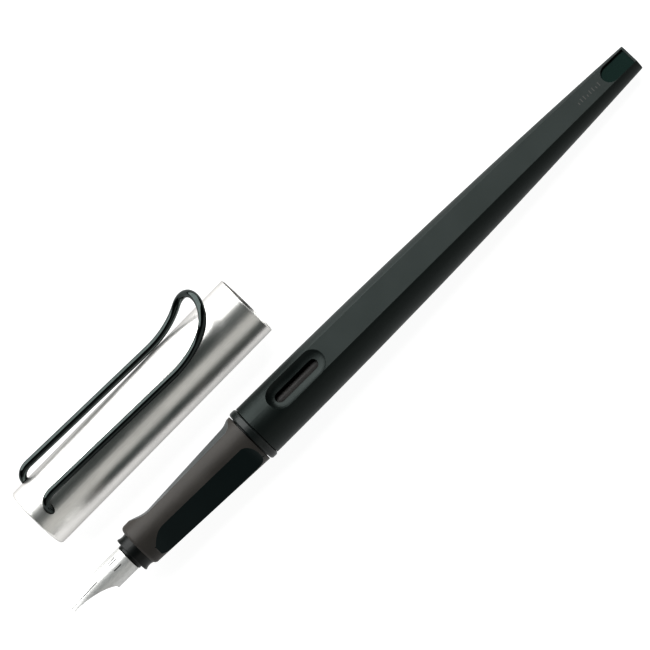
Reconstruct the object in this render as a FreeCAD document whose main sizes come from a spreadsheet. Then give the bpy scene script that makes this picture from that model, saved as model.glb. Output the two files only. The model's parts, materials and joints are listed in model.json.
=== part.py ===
import FreeCAD, Part
import math
import os
import re
import Sketcher
from FreeCAD import Placement, Rotation, Vector

# A broad-nib cartridge pen with its cap off.  The pen lies on its snap ring and on the lower of the
# two long flats of its barrel, nib towards -X, and the cap lies beside it on +Y with its closed end
# towards -X.
#
# Pen frame: X along the pen, 0 at the barrel's front face, tail at +X; +Z is the side of the nib's top.
# Cap frame: X along the cap, 0 at the closed end, mouth at +X; +Z is the side of the clip.

SIZES = {
    # barrel: round at the front; behind the window an upper and a lower flat follow its curved sides
    "barrel_length": 109.3,
    "barrel_front_radius": 6.12,
    "barrel_side_arc": 1984.0,
    "flat_inset": 0.755,
    "flat_front": 13.5,
    "flat_runout": 3.0,
    "flat_runout_arc": 5.0,
    "tail_round": 2.0,
    "tail_round_lift": 0.02,
    "tail_corner": 0.6,
    "tail_corner_lift": 0.035,
    "tail_wall": 0.5,
    # inside of the barrel: threaded mouth, thread relief, chamber and a cone towards the tail
    "barrel_bore": 4.70,
    "relief_start": 4.2,
    "relief_chamfer": 0.3,
    "chamber_start": 5.4,
    "chamber_radius": 4.0,
    "chamber_end": 50.0,
    "bore_end": 98.0,
    "tail_bore": 2.1,
    # ink window: a bowl with a slot through its floor, one on each flat
    "slot_middle": 13.1,
    "slot_length": 11.8,
    "slot_width": 2.35,
    "bowl_floor": 4.45,
    "bowl_waist": 4.8,
    "bowl_waist_middle": 13.33,
    "bowl_waist_length": 13.75,
    "bowl_waist_width": 4.75,
    "bowl_top": 6.25,
    "bowl_top_middle": 13.51,
    "bowl_top_length": 15.98,
    "bowl_top_width": 7.5,
    # plug that closes the tail
    "plug_length": 7.2,
    "plug_width": 4.15,
    "plug_sink": 0.75,
    "plug_sweep": 1.0,
    "plug_sweep_run": 0.9,
    "plug_edge": 0.05,
    "part_gap": 0.03,
    # screw thread between section and barrel
    "thread_pitch": 1.5,
    "thread_root": 4.55,
    "thread_crest": 5.05,
    "thread_gap": 0.15,
    "thread_first": 0.9,
    "tooth_low_half": 0.42,
    "tooth_top_half": 0.17,
    "tooth_overlap": 0.1,
    "spigot_length": 5.0,
    "spigot_chamfer": 0.4,
    "spigot_gap": 0.06,
    # ring that the cap snaps over
    "ring_radius": 6.37,
    "ring_width": 1.8,
    "ring_bore": 5.14,
    "ring_gap": 0.1,
    "ring_round": 0.55,
    # grip
    "grip_rear": -2.17,
    "grip_front": -34.3,
    "grip_rear_radius": 6.0,
    "grip_front_radius": 5.05,
    "grip_front_rise": 1.0,
    "grip_rim": 0.95,
    "facet_angle": 61.5,
    "facet_reach": 6.0,
    "facet_front_x": -27.2,
    "facet_front_upper": 4.74,
    "facet_front_lower": 3.6,
    "facet_rear_x": -5.3,
    "facet_rear_upper": 4.72,
    "facet_rear_lower": 4.97,
    "facet_step": 3.4,
    "facet_step_run": 2.6,
    "facet_flare": 6.5,
    "facet_flare_angle": 22.0,
    "core_front_radius": 3.6,
    "core_rear_radius": 4.15,
    "core_step": -14.0,
    # nose of the section
    "nose_front": -37.25,
    "nose_radius": 3.04,
    "lip_front": -36.5,
    "lip_rear": -36.2,
    "lip_radius": 4.28,
    "edge_break": 0.12,
    "waist_end_radius": 4.2,
    "waist_arc": 2.4,
    # feed and nipple
    "feed_bore": 2.65,
    "feed_radius": 2.60,
    "feed_rear": -16.3,
    "comb_first": 0.6,
    "comb_slot": 0.25,
    "comb_top": -1.35,
    "comb_spread": 4.4,
    "nipple_radius": 0.95,
    "nipple_bore": 0.45,
    "nipple_end": -7.2,
    "nipple_chamfer": 0.3,
    "feed_gap": 0.05,
    "cavity_floor": -12.0,
    "cavity_radius": 3.75,
    # nib
    "nib_tip": -52.9,
    "nib_rise": 0.3,
    "nib_radius": 3.0,
    "nib_sheet": 0.25,
    "nib_gap": 0.08,
    "wing_front": -43.0,
    "wing_angle": 114.0,
    "slit_length": 7.6,
    "slit_gap": 0.16,
    # cartridge
    "neck_front": -11.0,
    "neck_radius": 1.9,
    "neck_bore": 1.0,
    "shoulder_front": -7.6,
    "cartridge_front": -6.5,
    "cartridge_radius": 3.4,
    "cartridge_taper": 44.0,
    "cartridge_end": 57.0,
    "cartridge_end_radius": 3.1,
    "cartridge_wall": 0.45,
    "cartridge_chamfer": 0.6,
    "ball_back": 1.05,
    "ink_front": -4.0,
    "ink_end": 40.0,
    "ball_radius": 0.95,
    # cap
    "cap_length": 62.4,
    "cap_radius": 7.33,
    "cap_wall": 0.45,
    "cap_round": 0.6,
    "mouth_edge": 0.2,
    "end_hole": 5.4,
    "foot_gap": 0.12,
    "finial_face": 0.25,
    "finial_disc_back": 2.2,
    "finial_stem_radius": 3.2,
    "cross_reach": 3.1,
    "cross_half_width": 0.6,
    "cross_floor": 1.1,
    "liner_top": 6.0,
    "liner_step": 27.0,
    "liner_end": 61.7,
    "liner_floor": 1.2,
    "liner_slope": 0.8,
    "seal_bore": 5.0,
    "mouth_bore": 6.45,
    # clip: one bent wire, both ends through the cap wall
    "wire_radius": 0.85,
    "clip_half_width": 5.2,
    "foot_x": 4.0,
    "foot_low": 3.4,
    "clip_pivot_height": 4.9,
    "clip_corner_height": 8.17,
    "clip_corner_arc": 3.0,
    "touch_x": 42.0,
    "touch_height": 6.36,
    "ramp_arc": 17.0,
    "ramp_angle": 36.0,
    "loop_start": 52.2,
    # how the two parts lie
    "cap_roll": 23.0,
    "cap_forward": -45.6,
    "cap_aside": 20.62,
}

doc = FreeCAD.newDocument("cartridge_pen")
sheet = doc.addObject("Spreadsheet::Sheet", "dims")
for row, (alias, size) in enumerate(SIZES.items(), start=1):
    sheet.set(f"A{row}", alias)
    sheet.set(f"B{row}", str(size))
    sheet.setAlias(f"B{row}", alias)
doc.recompute()


def full(formula):
    """The formula with the sheet's name put before each of its aliases."""
    return re.sub(r"[a-z_]+", lambda word: f"dims.{word[0]}" if word[0] in SIZES else word[0], formula)


def size(formula):
    """The number that a formula in the sheet's aliases comes to."""
    return float(sheet.evalExpression(full(formula)))


# ---------------------------------------------------------------- sketches and features


def origin_plane(body, role):
    return next(item for item in body.Origin.OriginFeatures if item.Role == role)


def new_body(label):
    body = doc.addObject("PartDesign::Body", label)
    body.Label = label
    return body


def new_sketch(body, name, role="XZ_Plane", offset="0", turn=None):
    """A sketch on one of the body's planes, moved along the plane's normal and turned within it."""
    sketch = body.newObject("Sketcher::SketchObject", name)
    sketch.AttachmentSupport = [(origin_plane(body, role), "")]
    sketch.MapMode = "FlatFace"
    if turn is not None:
        sketch.AttachmentOffset = Placement(Vector(0, 0, 0), turn)
    if offset != "0":
        sketch.setExpression("AttachmentOffset.Base.z", full(offset))
    return sketch


def pin(sketch, geometry, vertex, across, up):
    """Ties a vertex to the origin by two formulas."""
    for kind, formula in (("DistanceX", across), ("DistanceY", up)):
        index = sketch.addConstraint(
            Sketcher.Constraint(kind, -1, 1, geometry, vertex, size(formula))
        )
        sketch.setExpression(f"Constraints[{index}]", full(formula))


def lead_on(sketch, first, last, corner):
    """Adds the line, or the arc, that leads on from a corner, and gives its first and last vertex."""
    if len(corner) == 2:
        sketch.addGeometry(Part.LineSegment(first, last), False)
        return 1, 2
    radius = size(corner[2])
    side = corner[3]
    way = last - first
    left = Vector(-way.y, way.x, 0).normalize()
    drop = math.sqrt(max(radius**2 - way.Length**2 / 4, 0))
    centre = (first + last) * 0.5 + left * side * drop
    start, end = (first, last) if side > 0 else (last, first)
    begin_angle = math.atan2(start.y - centre.y, start.x - centre.x)
    end_angle = math.atan2(end.y - centre.y, end.x - centre.x)
    circle = Part.Circle(centre, Vector(0, 0, 1), radius)
    index = sketch.addGeometry(Part.ArcOfCircle(circle, begin_angle, end_angle), False)
    bound = sketch.addConstraint(Sketcher.Constraint("Radius", index, radius))
    sketch.setExpression(f"Constraints[{bound}]", full(corner[2]))
    return (1, 2) if side > 0 else (2, 1)


def outline(sketch, corners):
    """A closed outline.  A corner is (across, up), or (across, up, radius, side) when an arc leads
    on from it, with side +1 for a centre on the left of the way and -1 on the right."""
    places = [Vector(size(corner[0]), size(corner[1]), 0) for corner in corners]
    following = places[1:] + places[:1]
    ends = [lead_on(sketch, *step) for step in zip(places, following, corners)]
    for index, corner in enumerate(corners):
        after = (index + 1) % len(corners)
        sketch.addConstraint(
            Sketcher.Constraint("Coincident", index, ends[index][1], after, ends[after][0])
        )
        pin(sketch, index, ends[index][0], corner[0], corner[1])


def open_path(sketch, corners):
    """An open path, its corners given as in outline()."""
    places = [Vector(size(corner[0]), size(corner[1]), 0) for corner in corners]
    ends = [lead_on(sketch, *step) for step in zip(places, places[1:], corners)]
    for index, (start, _) in enumerate(ends):
        if index:
            sketch.addConstraint(
                Sketcher.Constraint("Coincident", index - 1, ends[index - 1][1], index, start)
            )
        pin(sketch, index, start, corners[index][0], corners[index][1])
    pin(sketch, len(ends) - 1, ends[-1][1], corners[-1][0], corners[-1][1])


def ring(sketch, across, up, radius):
    """A circle."""
    index = sketch.addGeometry(
        Part.Circle(Vector(size(across), size(up), 0), Vector(0, 0, 1), size(radius)), False
    )
    pin(sketch, index, 3, across, up)
    bound = sketch.addConstraint(Sketcher.Constraint("Radius", index, size(radius)))
    sketch.setExpression(f"Constraints[{bound}]", full(radius))


def stadium(sketch, middle, length, width):
    """A slot outline along the sketch's first axis, with round ends made of two quarters each."""
    half = f"({width}) / 2"
    near = f"{middle} - ({length}) / 2"
    far = f"{middle} + ({length}) / 2"
    outline(
        sketch,
        [
            (f"{near} + {half}", f"-({half})"),
            (f"{far} - {half}", f"-({half})", half, 1),
            (far, "0", half, 1),
            (f"{far} - {half}", half),
            (f"{near} + {half}", half, half, 1),
            (near, "0", half, 1),
        ],
    )


def turned(body, name, corners, kind="PartDesign::Revolution"):
    """A solid, or a cut, turned about the X axis from an outline above it."""
    sketch = new_sketch(body, f"{name}_outline")
    outline(sketch, corners)
    feature = body.newObject(kind, name)
    feature.Profile = sketch
    feature.ReferenceAxis = (sketch, ["H_Axis"])
    feature.Angle = 360
    return feature


def swept_cut(body, name, sketch, length="30"):
    """A cut by a sketch, to both sides of its plane."""
    pocket = body.newObject("PartDesign::Pocket", name)
    pocket.Profile = sketch
    pocket.Type = 0
    pocket.SideType = 2
    pocket.setExpression("Length", full(length))
    return pocket


def mirrored(body, name, originals, role):
    """The same features again on the other side of one of the body's planes."""
    feature = body.newObject("PartDesign::Mirrored", name)
    feature.Originals = originals
    feature.MirrorPlane = (origin_plane(body, role), [""])
    body.Tip = feature
    return feature


def loft(body, name, sketches, kind="PartDesign::AdditiveLoft", ruled=False):
    feature = body.newObject(kind, name)
    feature.Profile = sketches[0]
    feature.Sections = sketches[1:]
    feature.Ruled = ruled
    return feature


def helix(body, name, corners, kind, turns_length):
    """A thread ridge or groove, its tooth outline led round the X axis."""
    sketch = new_sketch(body, f"{name}_tooth")
    outline(sketch, corners)
    feature = body.newObject(kind, name)
    feature.Profile = sketch
    feature.ReferenceAxis = (sketch, ["H_Axis"])
    feature.Mode = 0
    feature.setExpression("Pitch", full("thread_pitch"))
    feature.setExpression("Height", full(turns_length))
    return feature


# ---------------------------------------------------------------- barrel and tail plug


def tooth(widen, low, high, shift):
    """A trapezoid thread tooth, narrow at its outer edge, as corners in the plane of X and Z."""
    middle = f"(thread_first + ({shift}))"
    return [
        (f"{middle} - tooth_low_half - {widen}", low),
        (f"{middle} - tooth_top_half - {widen}", high),
        (f"{middle} + tooth_top_half + {widen}", high),
        (f"{middle} + tooth_low_half + {widen}", low),
    ]


def side_height(place, inset="0"):
    """The height of the barrel's curved side above its axis at a place, less an inset."""
    arc = f"(barrel_side_arc - {inset})"
    return f"(barrel_front_radius - barrel_side_arc + sqrt({arc} * {arc} - ({place}) * ({place})))"


def flat_height(place):
    """The height of the flats above the axis at a place."""
    return side_height(place, "flat_inset")


def make_barrel():
    body = new_body("barrel")
    turned(
        body,
        "round_side",
        [
            ("0", "0"),
            ("0", "barrel_front_radius", "barrel_side_arc", -1),
            ("barrel_length", side_height("barrel_length")),
            ("barrel_length", "0"),
        ],
    )

    # the flat follows the side's curve and runs out upwards just behind the window's middle
    over = "barrel_length + 2"
    above = "barrel_front_radius + 1"
    flat = new_sketch(body, "flat_outline")
    outline(
        flat,
        [
            (
                "flat_front - flat_runout",
                f"{flat_height('flat_front')} + flat_runout_arc"
                " - sqrt(flat_runout_arc * flat_runout_arc - flat_runout * flat_runout)",
                "flat_runout_arc",
                1,
            ),
            ("flat_front", flat_height("flat_front"), "barrel_side_arc - flat_inset", -1),
            (over, flat_height(over)),
            (over, above),
            ("flat_front - flat_runout", above),
        ],
    )
    mirrored(body, "both_flats", [swept_cut(body, "upper_flat", flat)], "XY_Plane")

    # the flats round down to the tail's narrow end face
    round_start = "barrel_length - tail_round"
    round_top = f"{flat_height(round_start)} + tail_round_lift"
    tail = new_sketch(body, "tail_outline")
    outline(
        tail,
        [
            (round_start, round_top, "tail_round", -1),
            ("barrel_length", f"{round_top} - tail_round"),
            (over, f"{round_top} - tail_round"),
            (over, above),
            (round_start, above),
        ],
    )
    mirrored(body, "both_tail_rounds", [swept_cut(body, "tail_round_cut", tail)], "XY_Plane")

    # the tail's corners are slightly round as seen from above
    corner = new_sketch(body, "corner_outline", "XY_Plane")
    side = f"({side_height('barrel_length')} + tail_corner_lift)"
    outline(
        corner,
        [
            ("barrel_length - tail_corner", side, "tail_corner", -1),
            ("barrel_length", f"{side} - tail_corner"),
            (over, f"{side} - tail_corner"),
            (over, f"{side} + 2"),
            ("barrel_length - tail_corner", f"{side} + 2"),
        ],
    )
    mirrored(body, "both_corners", [swept_cut(body, "tail_corner_cut", corner)], "XZ_Plane")

    relief_radius = "thread_crest + thread_gap"
    turned(
        body,
        "bore",
        [
            ("-1", "0"),
            ("-1", "barrel_bore"),
            ("relief_start", "barrel_bore"),
            ("relief_start + relief_chamfer", relief_radius),
            ("chamber_start", relief_radius),
            ("chamber_start", "chamber_radius"),
            ("chamber_end", "chamber_radius"),
            ("bore_end", "tail_bore"),
            ("bore_end", "0"),
        ],
        "PartDesign::Groove",
    )

    # ink window: the bowl, then the slot through the wall
    bowl_sections = []
    for name, height in (("top", "bowl_top"), ("waist", "bowl_waist")):
        section = new_sketch(body, f"bowl_{name}_outline", "XY_Plane", height)
        stadium(section, f"bowl_{name}_middle", f"bowl_{name}_length", f"bowl_{name}_width")
        bowl_sections.append(section)
    floor = new_sketch(body, "bowl_floor_outline", "XY_Plane", "bowl_floor")
    stadium(floor, "slot_middle", "slot_length", "slot_width")
    bowl = loft(body, "bowl", bowl_sections + [floor], "PartDesign::SubtractiveLoft")
    slot = new_sketch(body, "slot_outline", "XY_Plane", "bowl_floor")
    stadium(slot, "slot_middle", "slot_length", "slot_width")
    slot_cut = swept_cut(body, "slot", slot, "3")
    mirrored(body, "both_windows", [bowl, slot_cut], "XY_Plane")

    # through opening for the tail plug
    mortise = new_sketch(body, "mortise_outline", "XY_Plane")
    outline(mortise, plug_outline("0"))
    swept_cut(body, "mortise", mortise)

    doc.recompute()
    helix(
        body,
        "thread_groove",
        tooth("thread_gap * 0.8", "barrel_bore - 0.3", relief_radius, "-2 * thread_pitch"),
        "PartDesign::SubtractiveHelix",
        "relief_start + thread_pitch * 2 - 0.5",
    )
    return body


def plug_outline(gap):
    """The tail plug from above: round towards the front, square at the end wall."""
    half = f"plug_width / 2 - {gap}"
    far = f"barrel_length - tail_wall - {gap}"
    near = f"barrel_length - tail_wall - plug_length + {gap}"
    return [
        (near, "0", half, 1),
        (f"{near} + {half}", f"-({half})"),
        (far, f"-({half})"),
        (far, half),
        (f"{near} + {half}", half, half, 1),
    ]


def make_tail_plug():
    body = new_body("tail_plug")
    far = "barrel_length - tail_wall - part_gap"
    near = "barrel_length - tail_wall - plug_length"
    sweep_start = f"({far} - plug_sweep_run)"
    round_start = "barrel_length - tail_round"
    past = f"({far} - ({round_start}))"
    edge = (
        f"{flat_height(round_start)} - tail_round"
        f" + sqrt(tail_round * tail_round - {past} * {past}) - plug_edge"
    )
    side = new_sketch(body, "plug_side", "XZ_Plane")
    outline(
        side,
        [
            (near, f"-({flat_height(near)} - plug_sink)"),
            (sweep_start, f"-({flat_height(sweep_start)} - plug_sink)", "plug_sweep", -1),
            (far, f"-({edge})"),
            (far, edge, "plug_sweep", -1),
            (sweep_start, f"{flat_height(sweep_start)} - plug_sink"),
            (near, f"{flat_height(near)} - plug_sink"),
        ],
    )
    pad = body.newObject("PartDesign::Pad", "plug_pad")
    pad.Profile = side
    pad.SideType = 2
    pad.setExpression("Length", full("plug_width - 2 * part_gap"))
    half = "(plug_width / 2)"
    start = f"({near} + part_gap)"
    nose = new_sketch(body, "plug_nose", "XY_Plane")
    outline(
        nose,
        [
            (start, "0", f"{half} - part_gap", -1),
            (f"{start} + {half} - part_gap", f"{half} - part_gap"),
            (f"{start} + {half} - part_gap", f"{half} + 1"),
            (f"{start} - 1", f"{half} + 1"),
            (f"{start} - 1", "0"),
        ],
    )
    mirrored(body, "plug_round_nose", [swept_cut(body, "plug_nose_cut", nose)], "XZ_Plane")
    return body


# ---------------------------------------------------------------- ring, grip and section


def make_ring():
    body = new_body("cap_snap_ring")
    front = "-(ring_gap + ring_width)"
    back = "-ring_gap"
    turned(
        body,
        "ring_turn",
        [
            (front, "ring_bore"),
            (back, "ring_bore"),
            (back, "ring_radius - ring_round", "ring_round", 1),
            (f"{back} - ring_round", "ring_radius"),
            (f"{front} + ring_round", "ring_radius", "ring_round", 1),
            (front, "ring_radius - ring_round"),
        ],
    )
    return body


def make_grip():
    body = new_body("grip")
    rear = new_sketch(body, "rear_circle", "YZ_Plane", "grip_rear")
    ring(rear, "0", "0", "grip_rear_radius")
    front = new_sketch(body, "front_circle", "YZ_Plane", "grip_front")
    ring(front, "0", "grip_front_rise", "grip_front_radius")
    taper = loft(body, "grip_taper", [rear, front], ruled=True)
    doc.recompute()
    front_edges = [
        f"Edge{index}"
        for index, edge in enumerate(taper.Shape.Edges, start=1)
        if edge.BoundBox.XMax < size("grip_front + part_gap")
    ]
    rim = body.newObject("PartDesign::Fillet", "front_rim")
    rim.Base = (taper, front_edges)
    rim.setExpression("Radius", full("grip_rim"))
    doc.recompute()
    turned(
        body,
        "grip_bore",
        [
            ("grip_front - 1", "0"),
            ("grip_front - 1", "core_front_radius + part_gap"),
            ("core_step - part_gap", "core_front_radius + part_gap"),
            ("core_step - part_gap", "core_rear_radius + part_gap"),
            ("grip_rear + 1", "core_rear_radius + part_gap"),
            ("grip_rear + 1", "0"),
        ],
        "PartDesign::Groove",
    )

    # finger facets, slightly twisted: each is cut between two outlines at its long edges
    edges = [facet_outline(body, "upper", "-facet_reach"), facet_outline(body, "lower", "facet_reach")]
    facet = loft(body, "right_facet", edges, "PartDesign::SubtractiveLoft", True)
    mirrored(body, "both_facets", [facet], "XZ_Plane")
    return body


def facet_outline(body, edge, shift):
    """What a finger facet cuts away along one of its long edges: a long slope, a flare to the front
    rim and a short step at the rear.  The sketch is turned to face the facet and shifted across it."""
    front = f"facet_front_{edge}"
    rear = f"facet_rear_{edge}"
    slope_angle = f"atan(({rear} - {front}) / (facet_rear_x - facet_front_x))"
    flare_x = f"facet_front_x - facet_flare * (sin({slope_angle}) + sin(facet_flare_angle * 1deg))"
    flare_height = (
        f"{front} + facet_flare * (cos({slope_angle}) - cos(facet_flare_angle * 1deg))"
    )
    front_end = "grip_front - 0.5"
    front_height = f"{flare_height} + tan(facet_flare_angle * 1deg) * ({flare_x} - ({front_end}))"
    step_end = "facet_rear_x + facet_step_run"
    step_reach = f"(facet_step_run + facet_step * sin({slope_angle}))"
    step_rise = (
        f"{rear} + facet_step * cos({slope_angle})"
        f" - sqrt(facet_step * facet_step - {step_reach} * {step_reach})"
    )
    above = "grip_rear_radius + 4"
    turn = Rotation(Vector(1, 0, 0), size("facet_angle"))
    sketch = new_sketch(body, f"{edge}_facet_edge", "XZ_Plane", f"({shift}) * cos(facet_angle * 1deg)", turn)
    sketch.setExpression("AttachmentOffset.Base.y", full(f"-({shift}) * sin(facet_angle * 1deg)"))
    outline(
        sketch,
        [
            (front_end, above),
            (front_end, front_height),
            (flare_x, flare_height, "facet_flare", 1),
            ("facet_front_x", front),
            ("facet_rear_x", rear, "facet_step", 1),
            (step_end, step_rise),
            (step_end, above),
        ],
    )
    return sketch


def make_section_core():
    """The black inner moulding: nose, lip and waist in front of the grip, thread and nipple behind."""
    body = new_body("section_core")
    seat = "grip_rear + 0.05"
    turned(
        body,
        "core_turn",
        [
            ("nose_front", "feed_bore"),
            ("nose_front", "nose_radius - edge_break"),
            ("nose_front + edge_break", "nose_radius"),
            ("lip_front", "nose_radius"),
            ("lip_front", "lip_radius - edge_break"),
            ("lip_front + edge_break", "lip_radius"),
            ("lip_rear", "lip_radius - part_gap", "waist_arc", 1),
            ("grip_front - part_gap", "waist_end_radius"),
            ("grip_front - part_gap", "core_front_radius"),
            ("core_step", "core_front_radius"),
            ("core_step", "core_rear_radius"),
            (seat, "core_rear_radius"),
            (seat, "ring_bore - spigot_gap"),
            ("0", "ring_bore - spigot_gap"),
            ("relief_chamfer", "thread_root"),
            ("spigot_length - spigot_chamfer", "thread_root"),
            ("spigot_length", "thread_root - spigot_chamfer"),
            ("spigot_length", "cavity_radius"),
            ("cavity_floor", "cavity_radius"),
            ("cavity_floor", "nipple_radius"),
            ("nipple_end - nipple_chamfer", "nipple_radius"),
            ("nipple_end", "nipple_radius - nipple_chamfer"),
            ("nipple_end", "nipple_bore"),
            ("feed_rear + 4 * feed_gap", "nipple_bore"),
            ("feed_rear + 4 * feed_gap", "feed_bore"),
        ],
    )
    doc.recompute()
    helix(
        body,
        "thread_ridge",
        tooth("0", "thread_root - tooth_overlap", "thread_crest", "0"),
        "PartDesign::AdditiveHelix",
        "spigot_length - spigot_chamfer - thread_first - 0.5",
    )
    return body


def make_feed():
    """The feed under the nib: round shank, raised front that carries the nib, ink channel and comb."""
    body = new_body("feed")
    front_radius = "nib_radius - nib_sheet - feed_gap"
    shank = new_sketch(body, "shank_circle", "YZ_Plane", "feed_rear")
    ring(shank, "0", "0", "feed_radius")
    pad = body.newObject("PartDesign::Pad", "shank")
    pad.Profile = shank
    pad.Reversed = True
    pad.setExpression("Length", full("feed_rear - nose_front + feed_gap"))
    carrier = new_sketch(body, "carrier_circle", "YZ_Plane", "nose_front - feed_gap")
    ring(carrier, "0", "nib_rise", front_radius)
    carrier_pad = body.newObject("PartDesign::Pad", "carrier")
    carrier_pad.Profile = carrier
    carrier_pad.Reversed = True
    carrier_pad.setExpression("Length", full("nose_front - wing_front - 3 * feed_gap"))
    doc.recompute()
    # place along the pen, height of the middle and radius
    stations = (
        ("wing_front + 2 * feed_gap", "nib_rise", front_radius),
        ("wing_front - 1.2", "nib_rise + 0.55", "1.95"),
        ("wing_front - 3.4", "nib_rise + 1.05", "1.25"),
        ("wing_front - 6.4", "nib_rise + 1.2", "0.6"),
    )
    sections = []
    for number, (place, rise, radius) in enumerate(stations, start=1):
        section = new_sketch(body, f"beak_circle_{number}", "YZ_Plane", place)
        ring(section, "0", rise, radius)
        sections.append(section)
    loft(body, "beak", sections)
    doc.recompute()
    channel = new_sketch(body, "channel_outline", "XZ_Plane")
    outline(
        channel,
        [
            ("wing_front - 7", "nib_rise + 1.5"),
            ("wing_front - 3.4", "nib_rise + 1.7"),
            ("wing_front", "nib_rise + 1.9"),
            ("feed_rear + 1", "nib_rise + 1.4"),
            ("feed_rear + 1", "4"),
            ("wing_front - 7", "4"),
        ],
    )
    swept_cut(body, "ink_channel", channel, "0.3")
    comb = new_sketch(body, "comb_slot", "XZ_Plane")
    outline(
        comb,
        [
            ("wing_front + comb_first", "-(feed_radius + 1)"),
            ("wing_front + comb_first + comb_slot", "-(feed_radius + 1)"),
            ("wing_front + comb_first + comb_slot", "comb_top"),
            ("wing_front + comb_first", "comb_top"),
        ],
    )
    slot = swept_cut(body, "comb_slot_cut", comb, "8")
    pattern = body.newObject("PartDesign::LinearPattern", "comb_slots")
    pattern.Originals = [slot]
    pattern.Direction = (comb, ["H_Axis"])
    pattern.setExpression("Length", full("comb_spread"))
    pattern.Occurrences = 9
    body.Tip = pattern
    return body


def sheet_section(sketch, top, half_width, radius, thickness):
    """A band of sheet bent to an arc, open at the bottom, with its crown at the given height."""
    angle = math.asin(half_width / radius)
    centre = top - radius
    outline(
        sketch,
        [
            (f"{-half_width:.9f}", f"{centre + radius * math.cos(angle):.9f}", f"{radius:.9f}", -1),
            (f"{half_width:.9f}", f"{centre + radius * math.cos(angle):.9f}"),
            (
                f"{(radius - thickness) * math.sin(angle):.9f}",
                f"{centre + (radius - thickness) * math.cos(angle):.9f}",
                f"{radius - thickness:.9f}",
                1,
            ),
            (
                f"{-(radius - thickness) * math.sin(angle):.9f}",
                f"{centre + (radius - thickness) * math.cos(angle):.9f}",
            ),
        ],
    )


def make_nib():
    """The steel nib: a tube wrapped well past half way, narrowing and bending down to a square tip."""
    body = new_body("nib")
    radius = size("nib_radius")
    inner = radius - size("nib_sheet")
    rise = size("nib_rise")
    wing = math.radians(size("wing_angle"))
    wrap = new_sketch(body, "wrap_outline", "YZ_Plane", "wing_front")
    bands = []
    for sign in (1, -1):
        bands += [
            (sign * radius * math.sin(wing), rise + radius * math.cos(wing)),
            (sign * inner * math.sin(wing), rise + inner * math.cos(wing)),
        ]
    (right_x, low), (right_in_x, in_low), (left_x, _), (left_in_x, _) = bands
    outline(
        wrap,
        [
            (f"{right_x:.9f}", f"{low:.9f}", "nib_radius", 1),
            ("0", "nib_rise + nib_radius", "nib_radius", 1),
            (f"{left_x:.9f}", f"{low:.9f}"),
            (f"{left_in_x:.9f}", f"{in_low:.9f}", "nib_radius - nib_sheet", -1),
            ("0", "nib_rise + nib_radius - nib_sheet", "nib_radius - nib_sheet", -1),
            (f"{right_in_x:.9f}", f"{in_low:.9f}"),
        ],
    )
    pad = body.newObject("PartDesign::Pad", "wrap")
    pad.Profile = wrap
    pad.setExpression("Length", full("nose_front - wing_front - nib_gap"))
    doc.recompute()
    crown = rise + radius
    # place along the pen, drop of the crown, half width and bend radius
    stations = (
        ("wing_front", 0.0, 2.90, 3.0),
        ("wing_front - 0.8", 0.0, 2.62, 3.0),
        ("wing_front - 2.2", 0.03, 2.14, 3.0),
        ("wing_front - 4.0", 0.14, 1.66, 3.05),
        ("wing_front - 5.8", 0.36, 1.27, 3.5),
        ("wing_front - 7.6", 0.62, 0.97, 4.6),
        ("nib_tip", 1.04, 0.75, 12.0),
    )
    sections = []
    for number, (place, drop, half_width, bend) in enumerate(stations, start=1):
        section = new_sketch(body, f"leaf_section_{number}", "YZ_Plane", place)
        sheet_section(section, crown - drop, half_width, bend, size("nib_sheet"))
        sections.append(section)
    loft(body, "leaf", sections)
    doc.recompute()
    slit = new_sketch(body, "slit_outline", "XY_Plane")
    outline(
        slit,
        [
            ("nib_tip - 1", "-slit_gap / 2"),
            ("nib_tip + slit_length", "-slit_gap / 2"),
            ("nib_tip + slit_length", "slit_gap / 2"),
            ("nib_tip - 1", "slit_gap / 2"),
        ],
    )
    swept_cut(body, "slit", slit)
    return body


# ---------------------------------------------------------------- ink cartridge


def make_cartridge():
    shell = new_body("cartridge_shell")
    inner = "cartridge_radius - cartridge_wall"
    turned(
        shell,
        "shell_turn",
        [
            ("neck_front", "neck_bore"),
            ("neck_front", "neck_radius"),
            ("shoulder_front", "neck_radius"),
            ("cartridge_front", "cartridge_radius"),
            ("cartridge_taper", "cartridge_radius"),
            ("cartridge_end - cartridge_chamfer", "cartridge_end_radius"),
            ("cartridge_end", "cartridge_end_radius - cartridge_chamfer"),
            ("cartridge_end", "0"),
            ("cartridge_end - cartridge_wall", "0"),
            ("cartridge_end - cartridge_wall", "cartridge_end_radius - cartridge_chamfer - 0.2"),
            ("cartridge_end - 1", "cartridge_end_radius - cartridge_wall"),
            ("cartridge_taper", inner),
            ("cartridge_front + 0.2", inner),
            ("shoulder_front + 0.2", "neck_bore"),
        ],
    )
    ball = doc.addObject("Part::Sphere", "cartridge_ball")
    ball.setExpression("Radius", full("ball_radius"))
    ink = doc.addObject("Part::Cylinder", "ink")
    ink.setExpression("Radius", full(f"{inner} - part_gap"))
    ink.setExpression("Height", full("ink_end - ink_front"))
    return shell, ball, ink


# ---------------------------------------------------------------- cap


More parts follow.
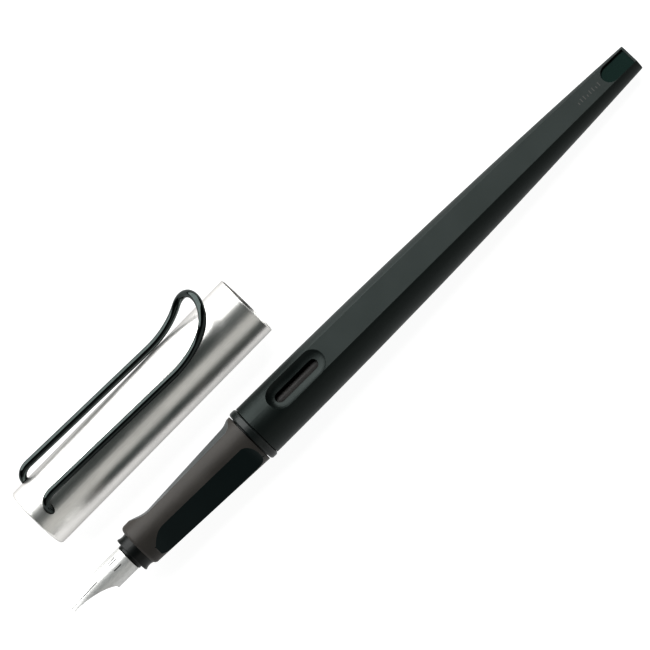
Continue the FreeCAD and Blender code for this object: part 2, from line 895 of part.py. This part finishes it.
def make_cap_tube():
    body = new_body("cap_tube")
    inner = "cap_radius - cap_wall"
    turned(
        body,
        "tube_turn",
        [
            ("0", "end_hole"),
            ("0", "cap_radius - cap_round", "cap_round", -1),
            ("cap_round", "cap_radius"),
            ("cap_length - mouth_edge", "cap_radius", "mouth_edge", -1),
            ("cap_length", "cap_radius - mouth_edge"),
            ("cap_length", inner),
            ("cap_wall", inner),
            ("cap_wall", "end_hole"),
        ],
    )
    doc.recompute()
    hole = new_sketch(body, "foot_hole", "XY_Plane", "foot_low")
    ring(hole, "foot_x", "clip_half_width", "wire_radius + foot_gap")
    cut = body.newObject("PartDesign::Pocket", "foot_hole_cut")
    cut.Profile = hole
    cut.Type = 0
    cut.Reversed = True
    cut.Length = 6
    mirrored(body, "both_foot_holes", [cut], "XZ_Plane")
    return body


def make_cap_finial():
    """Moulded end piece: a disc with a cross-shaped recess, and a stem between the clip's feet."""
    body = new_body("cap_finial")
    inner = "cap_radius - cap_wall - part_gap"
    turned(
        body,
        "finial_turn",
        [
            ("finial_face", "0"),
            ("finial_face", "end_hole - part_gap - 0.2"),
            ("finial_face + 0.2", "end_hole - part_gap"),
            ("cap_wall + part_gap", "end_hole - part_gap"),
            ("cap_wall + part_gap", inner),
            ("finial_disc_back", inner),
            ("finial_disc_back", "finial_stem_radius"),
            ("liner_top - part_gap", "finial_stem_radius"),
            ("liner_top - part_gap", "0"),
        ],
    )
    doc.recompute()
    for name, across, up in (
        ("cross_arm", "cross_reach", "cross_half_width"),
        ("cross_upright", "cross_half_width", "cross_reach"),
    ):
        arm = new_sketch(body, name, "YZ_Plane", "cross_floor")
        left, low = f"-{across}", f"-{up}"
        outline(arm, [(left, low), (across, low), (across, up), (left, up)])
        cut = body.newObject("PartDesign::Pocket", f"{name}_cut")
        cut.Profile = arm
        cut.Type = 0
        cut.Length = 2
    return body


def make_cap_liner():
    """Plastic inner cap: closed over the nib, wider where it takes the grip and the snap ring."""
    body = new_body("cap_liner")
    outer = "cap_radius - cap_wall - part_gap"
    turned(
        body,
        "liner_turn",
        [
            ("liner_top", "0"),
            ("liner_top", outer),
            ("liner_end", outer),
            ("liner_end", "mouth_bore + 0.2"),
            ("liner_end - 0.4", "mouth_bore"),
            ("liner_step + liner_slope", "mouth_bore"),
            ("liner_step", "seal_bore + 0.4"),
            ("liner_step", "seal_bore"),
            ("liner_top + liner_floor", "seal_bore"),
            ("liner_top + liner_floor", "0"),
        ],
    )
    return body


def make_clip():
    """One bent wire: two legs in parallel planes, joined by a half-round loop on a rising ramp."""
    body = new_body("clip")
    fall = "atan((clip_corner_height - touch_height) / (touch_x - foot_x))"
    reach = f"clip_corner_arc * tan((90deg + {fall}) / 2)"
    ramp = "(ramp_angle * 1deg)"
    ramp_start_x = f"(loop_start - ramp_arc * (sin({ramp}) + sin({fall})))"
    line_height = f"(clip_corner_height - tan({fall}) * ({ramp_start_x} - foot_x))"
    ramp_height = f"({line_height} + ramp_arc * (cos({fall}) - cos({ramp})))"

    foot = new_sketch(body, "foot_circle", "XY_Plane", "foot_low")
    ring(foot, "foot_x", "clip_half_width", "wire_radius")
    path = new_sketch(body, "leg_path", "XZ_Plane", "-clip_half_width")
    open_path(
        path,
        [
            ("foot_x", "foot_low"),
            ("foot_x", f"clip_corner_height - {reach}", "clip_corner_arc", -1),
            (
                f"foot_x + {reach} * cos({fall})",
                f"clip_corner_height - {reach} * sin({fall})",
            ),
            (ramp_start_x, line_height, "ramp_arc", 1),
            ("loop_start", ramp_height),
        ],
    )
    leg = body.newObject("PartDesign::AdditivePipe", "leg")
    leg.Profile = foot
    leg.Spine = path
    leg.Transition = 0
    doc.recompute()
    mirrored(body, "both_legs", [leg], "XZ_Plane")
    doc.recompute()

    # the loop is half a torus about an axis square to the ramp
    tilt = Rotation(Vector(1, 0, 0), -size("ramp_angle"))
    end = new_sketch(body, "loop_circle", "YZ_Plane", "0")
    end.AttachmentOffset = Placement(
        Vector(0, size(ramp_height), size("loop_start")), tilt
    )
    ring(end, "clip_half_width", "0", "wire_radius")
    loop = body.newObject("PartDesign::Revolution", "loop")
    loop.Profile = end
    loop.ReferenceAxis = (end, ["V_Axis"])
    loop.Angle = 180
    loop.Reversed = True
    return body


# ---------------------------------------------------------------- assembly


def main():
    barrel = make_barrel()
    shell, ball, ink = make_cartridge()
    pen_parts = [barrel, make_tail_plug(), make_ring(), make_grip(), make_section_core()]
    pen_parts += [make_feed(), make_nib(), shell]
    cap_parts = [make_cap_tube(), make_cap_finial(), make_cap_liner(), make_clip()]
    doc.recompute()

    # the pen touches the surface with the ring's crest and with the curved lower flat
    crest = size("ring_gap + ring_round")
    ring_drop = size("ring_radius + barrel_side_arc - barrel_front_radius")
    flat_arc = size("barrel_side_arc - flat_inset")
    slope = math.acos(flat_arc / math.hypot(crest, ring_drop)) - math.atan(crest / ring_drop)
    pen_turn = Rotation(Vector(0, 1, 0), math.degrees(slope))
    pen_lift = size("ring_radius") * math.cos(slope) - crest * math.sin(slope)
    cap_turn = Rotation(Vector(1, 0, 0), -size("cap_roll"))

    def place(shift):
        pen = Placement(Vector(0, 0, pen_lift) + shift, pen_turn)
        cap = Placement(
            Vector(size("cap_forward"), size("cap_aside"), size("cap_radius")) + shift, cap_turn
        )
        for part in pen_parts:
            part.Placement = pen
        for part in cap_parts:
            part.Placement = cap
        lie_along = Rotation(Vector(0, 1, 0), 90)
        ball.Placement = pen * Placement(Vector(size("ink_front - ball_back"), 0, 0), Rotation())
        ink.Placement = pen * Placement(Vector(size("ink_front"), 0, 0), lie_along)
        doc.recompute()
        return pen, cap

    parts = pen_parts + [ball, ink] + cap_parts
    place(Vector(0, 0, 0))
    boxes = [part.Shape.optimalBoundingBox(False) for part in parts]
    low = [min(getattr(box, side) for box in boxes) for side in ("XMin", "YMin", "ZMin")]
    high = [max(getattr(box, side) for box in boxes) for side in ("XMax", "YMax", "ZMax")]
    pen, cap = place(Vector(-(low[0] + high[0]) / 2, -(low[1] + high[1]) / 2, -low[2]))

    failed = [
        item.Label for item in doc.Objects if "Invalid" in item.State or "Error" in item.State
    ]
    bad = [part.Label for part in parts if part.Shape.isNull() or not part.Shape.isValid()]
    if failed or bad:
        raise RuntimeError(f"failed: {failed}, not valid: {bad}")

    os.makedirs("parts", exist_ok=True)
    for part in parts:
        part.Shape.exportStep(f"parts/{part.Label}.step")
        print(part.Label, len(part.Shape.Solids), "solid", round(part.Shape.Volume, 2), "mm3")

    print("box", [round(v, 3) for v in low], [round(v, 3) for v in high])
    print("pen origin", pen.Base, "pen X", pen.Rotation.multVec(Vector(1, 0, 0)))
    print("cap origin", cap.Base, "clip side", cap.Rotation.multVec(Vector(0, 0, 1)))
    pivot = cap.multVec(Vector(size("foot_x"), 0, size("clip_pivot_height")))
    print("clip pivot", pivot, "clip axis", cap.Rotation.multVec(Vector(0, 1, 0)))


main()
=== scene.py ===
import json
import math

import bpy
from mathutils import Matrix, Vector


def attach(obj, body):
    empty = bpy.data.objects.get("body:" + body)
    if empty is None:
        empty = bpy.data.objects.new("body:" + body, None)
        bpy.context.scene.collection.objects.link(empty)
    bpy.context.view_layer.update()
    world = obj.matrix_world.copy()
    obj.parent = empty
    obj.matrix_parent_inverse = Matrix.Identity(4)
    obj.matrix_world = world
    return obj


# A cartridge calligraphy pen lying on a pale floor, its cap off beside it.
# Metres throughout, except where a name or a comment says millimetres.
# The pen's axis, its upper side and its origin come from the frame's joints.

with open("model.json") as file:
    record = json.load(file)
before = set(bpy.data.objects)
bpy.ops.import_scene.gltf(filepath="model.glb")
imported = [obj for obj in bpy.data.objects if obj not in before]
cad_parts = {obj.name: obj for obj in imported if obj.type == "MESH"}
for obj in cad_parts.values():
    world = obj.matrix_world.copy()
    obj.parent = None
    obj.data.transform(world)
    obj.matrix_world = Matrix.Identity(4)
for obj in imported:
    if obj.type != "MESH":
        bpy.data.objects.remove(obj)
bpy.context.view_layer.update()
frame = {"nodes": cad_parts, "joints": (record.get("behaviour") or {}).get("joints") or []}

MM = 0.001
joints = {joint["name"]: joint for joint in frame["joints"]}
nodes = frame["nodes"]

# pen frame: origin at the barrel's front face, along to the tail, up through the nib's top
SECTION_POINT = -10.0 * MM
pen_along = Vector(joints["cartridge_pull"]["axis"]).normalized()
pen_side = Vector((0.0, 1.0, 0.0))
pen_up = pen_along.cross(pen_side).normalized()
pen_origin = Vector(joints["section_turn"]["pos_m"]) - pen_along * SECTION_POINT


def pen_point(along, side, up):
    """A point given in millimetres in the pen's frame."""
    return pen_origin + (pen_along * along + pen_side * side + pen_up * up) * MM


# ---------------------------------------------------------------- camera

# the view leans away from the cap, and the pen rises to the right in the picture
VIEW_ROLL = math.radians(20.0)
IMAGE_TURN = math.radians(44.86)
VIEW_DISTANCE = 1.03
# width of what is seen at that distance, and its middle in the pen's frame in millimetres
VIEW_WIDTH = 0.1343
VIEW_MIDDLE = 25.35
VIEW_ASIDE = 5.516
SENSOR_WIDTH = 36.0


def make_camera():
    """Looks down on the pen, leaning away from the cap, with the pen rising to the right."""
    look = pen_up * math.cos(VIEW_ROLL) - pen_side * math.sin(VIEW_ROLL)
    down = -(pen_up * math.sin(VIEW_ROLL) + pen_side * math.cos(VIEW_ROLL))
    target = pen_point(VIEW_MIDDLE, 0, 0) - down * VIEW_ASIDE * MM
    right = pen_along * math.cos(IMAGE_TURN) + down * math.sin(IMAGE_TURN)
    top = pen_along * math.sin(IMAGE_TURN) - down * math.cos(IMAGE_TURN)
    data = bpy.data.cameras.new("camera")
    data.sensor_width = SENSOR_WIDTH
    data.lens = SENSOR_WIDTH / 2 * VIEW_DISTANCE / (VIEW_WIDTH / 2)
    data.clip_start = 0.05
    data.clip_end = 20.0
    camera = bpy.data.objects.new("camera", data)
    matrix = Matrix((right, top, look)).transposed().to_4x4()
    matrix.translation = target + look * VIEW_DISTANCE
    camera.matrix_world = matrix
    bpy.context.scene.collection.objects.link(camera)
    bpy.context.scene.camera = camera


# ---------------------------------------------------------------- floor and light

FLOOR_REACH = 3.0
FLOOR_LEVEL = -0.0001
FLOOR_GREY = 0.13
# the floor glows a little, so that shadows on it stay faint
FLOOR_GLOW = 0.95

# directions of the two soft boxes, in degrees from straight up towards the cap's side
KEY_ANGLE = 48
FILL_ANGLE = -66
BOX_LENGTH = 2.2
ROOM_COLOUR = (0.82, 1.0, 0.97, 1)
ROOM_LIGHT = 0.072
PICTURE_GAMMA = 0.75


def plain_mesh(name, points, faces):
    mesh = bpy.data.meshes.new(name)
    mesh.from_pydata(points, [], faces)
    piece = bpy.data.objects.new(name, mesh)
    bpy.context.scene.collection.objects.link(piece)
    return piece


def make_floor():
    corners = [
        (-FLOOR_REACH, -FLOOR_REACH, FLOOR_LEVEL),
        (FLOOR_REACH, -FLOOR_REACH, FLOOR_LEVEL),
        (FLOOR_REACH, FLOOR_REACH, FLOOR_LEVEL),
        (-FLOOR_REACH, FLOOR_REACH, FLOOR_LEVEL),
    ]
    floor = plain_mesh("floor", corners, [(0, 1, 2, 3)])
    material = new_material("floor_paper")
    shader = material.node_tree.nodes["Principled BSDF"]
    shader.inputs["Base Color"].default_value = (FLOOR_GREY, FLOOR_GREY, FLOOR_GREY, 1)
    shader.inputs["Roughness"].default_value = 0.9
    shader.inputs["Specular IOR Level"].default_value = 0.1
    shader.inputs["Emission Color"].default_value = (1, 1, 1, 1)
    shader.inputs["Emission Strength"].default_value = FLOOR_GLOW
    floor.data.materials.append(material)


def around(degrees):
    """A direction square to X, this many degrees from straight up towards the cap's side."""
    angle = math.radians(degrees)
    return Vector((0.0, math.sin(angle), math.cos(angle)))


def area_light(name, toward, distance, width, power, colour=(1, 1, 1)):
    """A soft box at this distance in the direction toward, its length along X, facing the origin."""
    data = bpy.data.lights.new(name, "AREA")
    data.shape = "RECTANGLE"
    data.size = BOX_LENGTH
    data.size_y = width
    data.energy = power
    data.color = colour
    light = bpy.data.objects.new(name, data)
    along = Vector((1, 0, 0))
    across = toward.cross(along).normalized()
    along = across.cross(toward).normalized()
    matrix = Matrix((along, across, toward)).transposed().to_4x4()
    matrix.translation = toward * distance
    light.matrix_world = matrix
    bpy.context.scene.collection.objects.link(light)


def make_lights():
    area_light("key_box", around(KEY_ANGLE), distance=0.8, width=1.15, power=34.0)
    area_light("fill_box", around(FILL_ANGLE), distance=1.0, width=0.75, power=3.7, colour=(1, 0.98, 0.95))
    world = bpy.data.worlds.new("studio")
    world.use_nodes = True
    background = world.node_tree.nodes["Background"]
    background.inputs["Color"].default_value = ROOM_COLOUR
    background.inputs["Strength"].default_value = ROOM_LIGHT
    bpy.context.scene.world = world
    bpy.context.scene.view_settings.view_transform = "Standard"
    bpy.context.scene.view_settings.gamma = PICTURE_GAMMA


# ---------------------------------------------------------------- material building blocks

# the part of a noise texture's 0..1 range that most of its values lie in
NOISE_LOW = 0.3
NOISE_HIGH = 0.7
# how far roughness drifts either way over a surface
ROUGHNESS_DRIFT = 0.04
EVEN = (1, 1, 1)


def new_material(name):
    material = bpy.data.materials.new(name)
    material.use_nodes = True
    return material


def object_coordinates(tree, stretch):
    """Object coordinates, scaled along each axis."""
    coordinates = tree.nodes.new("ShaderNodeTexCoord")
    mapping = tree.nodes.new("ShaderNodeMapping")
    mapping.inputs["Scale"].default_value = stretch
    tree.links.new(coordinates.outputs["Object"], mapping.inputs["Vector"])
    return mapping.outputs["Vector"]


def noise(tree, vector, scale, detail):
    texture = tree.nodes.new("ShaderNodeTexNoise")
    texture.inputs["Scale"].default_value = scale
    texture.inputs["Detail"].default_value = detail
    tree.links.new(vector, texture.inputs["Vector"])
    return texture.outputs["Fac"]


def spread(tree, value, low, high):
    """Maps the usual range of a noise value to low..high."""
    ramp = tree.nodes.new("ShaderNodeMapRange")
    ramp.inputs["From Min"].default_value = NOISE_LOW
    ramp.inputs["From Max"].default_value = NOISE_HIGH
    ramp.inputs["To Min"].default_value = low
    ramp.inputs["To Max"].default_value = high
    tree.links.new(value, ramp.inputs["Value"])
    return ramp.outputs["Result"]


def mix_colour(tree, value, first, second):
    mix = tree.nodes.new("ShaderNodeMix")
    mix.data_type = "RGBA"
    mix.inputs["A"].default_value = (*first, 1)
    mix.inputs["B"].default_value = (*second, 1)
    tree.links.new(value, mix.inputs["Factor"])
    return mix.outputs["Result"]


def bump(tree, value, strength, depth):
    node = tree.nodes.new("ShaderNodeBump")
    node.inputs["Strength"].default_value = strength
    node.inputs["Distance"].default_value = depth
    tree.links.new(value, node.inputs["Height"])
    return node.outputs["Normal"]


def dress_shader(material, colour_noise, dark, light, roughness_noise, roughness, normal):
    """Joins the colour, the drifting roughness and the bump to a material's shader, which it returns."""
    tree = material.node_tree
    shader = tree.nodes["Principled BSDF"]
    colour = mix_colour(tree, spread(tree, colour_noise, 0.0, 1.0), dark, light)
    drift = spread(tree, roughness_noise, roughness - ROUGHNESS_DRIFT, roughness + ROUGHNESS_DRIFT)
    tree.links.new(colour, shader.inputs["Base Color"])
    tree.links.new(drift, shader.inputs["Roughness"])
    tree.links.new(normal, shader.inputs["Normal"])
    return shader


def moulded_plastic(name, dark, light, roughness, specular, grain, grain_depth, tint=(1, 1, 1)):
    """Moulded plastic: slight colour and roughness drift, and a fine grain in the surface."""
    material = new_material(name)
    tree = material.node_tree
    vector = object_coordinates(tree, EVEN)
    drift = noise(tree, vector, scale=180.0, detail=3.0)
    fine = noise(tree, vector, scale=grain, detail=2.0)
    normal = bump(tree, fine, 0.35, grain_depth)
    shader = dress_shader(material, drift, dark, light, drift, roughness, normal)
    shader.inputs["Specular IOR Level"].default_value = specular
    shader.inputs["Specular Tint"].default_value = (*tint, 1)
    return material


def metal(name, dark, light, roughness, stretch, line_scale, line_depth, metallic=1.0, edge=1.0):
    """Metal with fine working lines, which run along the axis that is stretched least."""
    material = new_material(name)
    tree = material.node_tree
    lines = noise(tree, object_coordinates(tree, stretch), scale=line_scale, detail=3.0)
    blotch = noise(tree, object_coordinates(tree, EVEN), scale=120.0, detail=2.0)
    normal = bump(tree, lines, 0.25, line_depth)
    shader = dress_shader(material, lines, dark, light, blotch, roughness, normal)
    shader.inputs["Metallic"].default_value = metallic
    shader.inputs["Specular Tint"].default_value = (edge, edge, edge, 1)
    return material


# ---------------------------------------------------------------- the pen's materials


def barrel_plastic():
    return moulded_plastic(
        "barrel_plastic", (0.0005, 0.0034, 0.0028), (0.0022, 0.0056, 0.0048),
        roughness=0.46, specular=0.45, grain=5200, grain_depth=0.00002, tint=(0.9, 1, 0.97))


def ring_plastic():
    return moulded_plastic(
        "ring_plastic", (0.007, 0.011, 0.0105), (0.011, 0.0155, 0.0145),
        roughness=0.36, specular=0.5, grain=2500, grain_depth=0.000004)


def plug_plastic():
    return moulded_plastic(
        "plug_plastic", (0.001, 0.002, 0.0018), (0.002, 0.0045, 0.0038),
        roughness=0.2, specular=0.14, grain=1500, grain_depth=0.000002, tint=(0.5, 1, 0.88))


def grip_plastic():
    return moulded_plastic(
        "grip_plastic", (0.046, 0.042, 0.038), (0.058, 0.053, 0.048),
        roughness=0.48, specular=0.32, grain=3000, grain_depth=0.00001)


# Painted shade: a darker, teal copy of the grip's plastic for the two finger facets, where the grip turns
# away from the light
def facet_painted_shade():
    return moulded_plastic(
        "facet_painted_shade", (0.001, 0.0065, 0.0065), (0.0025, 0.009, 0.009),
        roughness=0.3, specular=0.1, grain=2500, grain_depth=0.000003, tint=(0.7, 1, 1))


def section_plastic():
    return moulded_plastic(
        "section_plastic", (0.004, 0.006, 0.0055), (0.006, 0.008, 0.0075),
        roughness=0.33, specular=0.4, grain=2500, grain_depth=0.000006)


def feed_plastic():
    return moulded_plastic(
        "feed_plastic", (0.012, 0.012, 0.012), (0.02, 0.02, 0.02),
        roughness=0.45, specular=0.4, grain=3000, grain_depth=0.00001)


def cartridge_plastic():
    return moulded_plastic(
        "cartridge_plastic", (0.012, 0.01, 0.009), (0.02, 0.017, 0.015),
        roughness=0.45, specular=0.5, grain=900, grain_depth=0.00001)


def ink_liquid():
    return moulded_plastic(
        "ink_liquid", (0.003, 0.004, 0.012), (0.004, 0.006, 0.016),
        roughness=0.08, specular=0.5, grain=300, grain_depth=0.000002)


def liner_plastic():
    return moulded_plastic(
        "liner_plastic", (0.02, 0.02, 0.02), (0.03, 0.03, 0.03),
        roughness=0.45, specular=0.4, grain=2500, grain_depth=0.00001)


def nib_steel():
    return metal(
        "nib_steel", (0.6, 0.6, 0.59), (0.7, 0.7, 0.69),
        roughness=0.36, stretch=(1, 8, 8), line_scale=900, line_depth=0.000001, metallic=0.5, edge=0.5)


# Painted shade: dark steel on the nib's cut edges, drawing the dark outline that shade gives along the
# sheet's rim
def nib_edge_painted_shade():
    return metal(
        "nib_edge_painted_shade", (0.06, 0.062, 0.06), (0.09, 0.09, 0.088),
        roughness=0.4, stretch=(1, 8, 8), line_scale=900, line_depth=0.000002, metallic=0.2)


def cap_aluminium():
    return metal(
        "cap_aluminium", (0.78, 0.77, 0.75), (0.84, 0.83, 0.81),
        roughness=0.36, stretch=(1, 10, 10), line_scale=500, line_depth=0.0000012, edge=0.5)


def clip_wire():
    return metal(
        "clip_wire", (0.045, 0.054, 0.052), (0.06, 0.07, 0.068),
        roughness=0.11, stretch=(1, 4, 4), line_scale=700, line_depth=0.000001)


def nib_mark_grey():
    return moulded_plastic(
        "nib_mark_grey", (0.015, 0.015, 0.015), (0.03, 0.03, 0.03),
        roughness=0.5, specular=0.3, grain=3000, grain_depth=0.000002)


def tail_mark_grey():
    return moulded_plastic(
        "tail_mark_grey", (0.045, 0.046, 0.043), (0.06, 0.061, 0.058),
        roughness=0.5, specular=0.4, grain=3000, grain_depth=0.000002)


# ---------------------------------------------------------------- materials on the CAD nodes, with painted shade on the grip's facets and the nib's cut edges

# finger facets in the pen's frame: millimetres along, degrees that they face away from the top; their
# faces are painted darker, as painted shade
FACET_FRONT = -31.6
FACET_REAR = -2.7
FACET_ASIDE = 61.5
FACET_SPREAD = 12

# axis that the nib's sheet is rolled round, in millimetres above the pen's axis
NIB_RISE = 0.3
# a face belongs to a cut edge, painted dark as shade, where its normal follows the radius less than this
NIB_EDGE_LIMIT = 0.45


def dress_nodes():
    """Gives every CAD node its material."""
    ring = ring_plastic()
    cartridge = cartridge_plastic()
    materials = {
        "barrel": barrel_plastic(),
        "tail_plug": plug_plastic(),
        "cap_snap_ring": ring,
        "grip": grip_plastic(),
        "section_core": section_plastic(),
        "feed": feed_plastic(),
        "nib": nib_steel(),
        "cartridge_shell": cartridge,
        "cartridge_ball": cartridge,
        "ink": ink_liquid(),
        "cap_tube": cap_aluminium(),
        "cap_finial": ring,
        "cap_liner": liner_plastic(),
        "clip": clip_wire(),
    }
    for name, material in materials.items():
        for place in nodes[name].material_slots:
            place.material = material


def refinish(node, material, chosen):
    """Gives a second material to the faces of a CAD node that chosen(face) picks."""
    mesh = nodes[node].data
    mesh.materials.append(material)
    last = len(mesh.materials) - 1
    for face in mesh.polygons:
        if chosen(face):
            face.material_index = last


def on_facet(face):
    """Whether a face of the grip belongs to one of its two finger facets, which get painted shade."""
    along = (face.center - pen_origin).dot(pen_along) / MM
    aside = math.degrees(math.atan2(face.normal.dot(pen_side), face.normal.dot(pen_up)))
    return FACET_FRONT < along < FACET_REAR and abs(abs(aside) - FACET_ASIDE) < FACET_SPREAD


def on_cut_edge(face):
    """Whether a face of the nib belongs to the cut edges of its sheet."""
    outward = face.center - pen_point(0, 0, NIB_RISE)
    outward -= pen_along * outward.dot(pen_along)
    return abs(outward.normalized().dot(face.normal)) < NIB_EDGE_LIMIT


# ---------------------------------------------------------------- printed marks

# places in the pen's frame, in millimetres
PROBE_HEIGHT = 30
MARK_LIFT = 0.015
MARK_STEPS = 8
NIB_BAR_FRONT = -41.2
NIB_BAR_REAR = -39.2
NIB_BAR_WIDTH = 0.16
NIB_BAR_SIDES = (-1.0, 0.55, 1.15)
TAIL_MARK_COUNT = 8
TAIL_MARK_FIRST = 94.5
TAIL_MARK_PITCH = 0.82
TAIL_MARK_WIDTH = 0.22
TAIL_MARK_HALF = 0.5
# every third tail mark ends sooner
TAIL_MARK_SHORT = 0.1


def on_surface(node, along, side):
    """The point of a CAD node straight below a place given in the pen's frame, lifted a hair."""
    hit, place, normal, _ = nodes[node].ray_cast(pen_point(along, side, PROBE_HEIGHT), -pen_up)
    if not hit:
        raise ValueError(f"nothing of {node} lies below {along}, {side}")
    return place + normal * MARK_LIFT * MM


def make_marks(name, node, body, strokes, material):
    """Flat strokes laid on a node; each runs from one (along, side) corner to the opposite one."""
    points = []
    faces = []
    for start_along, start_side, end_along, end_side in strokes:
        first = len(points)
        lengthwise = abs(end_along - start_along) > abs(end_side - start_side)
        for step in range(MARK_STEPS + 1):
            part = step / MARK_STEPS
            if lengthwise:
                along = start_along + (end_along - start_along) * part
                pair = ((along, start_side), (along, end_side))
            else:
                side = start_side + (end_side - start_side) * part
                pair = ((start_along, side), (end_along, side))
            points += [on_surface(node, *place) for place in pair]
        for corner in range(first, first + 2 * MARK_STEPS, 2):
            faces.append((corner, corner + 1, corner + 3, corner + 2))
    marks = plain_mesh(name, points, faces)
    marks.data.materials.append(material)
    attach(marks, body)


def make_nib_mark():
    """Three plain bars on the nib, in place of a figure."""
    bars = [(NIB_BAR_FRONT, side, NIB_BAR_REAR, side + NIB_BAR_WIDTH) for side in NIB_BAR_SIDES]
    make_marks("nib_width_mark", "nib", "nib_body", bars, nib_mark_grey())


def make_tail_marks():
    """A row of plain strokes near the tail, in place of letters."""
    row = []
    for place in range(TAIL_MARK_COUNT):
        front = TAIL_MARK_FIRST + TAIL_MARK_PITCH * place
        end = TAIL_MARK_HALF if place % 3 else TAIL_MARK_SHORT
        row.append((front, -TAIL_MARK_HALF, front + TAIL_MARK_WIDTH, end))
    make_marks("tail_marks", "barrel", "barrel_body", row, tail_mark_grey())


make_camera()
make_floor()
make_lights()
dress_nodes()
# paints shade on the grip's two finger facets
refinish("grip", facet_painted_shade(), on_facet)
# paints shade on the nib's cut edges, as a dark outline
refinish("nib", nib_edge_painted_shade(), on_cut_edge)
make_nib_mark()
make_tail_marks()
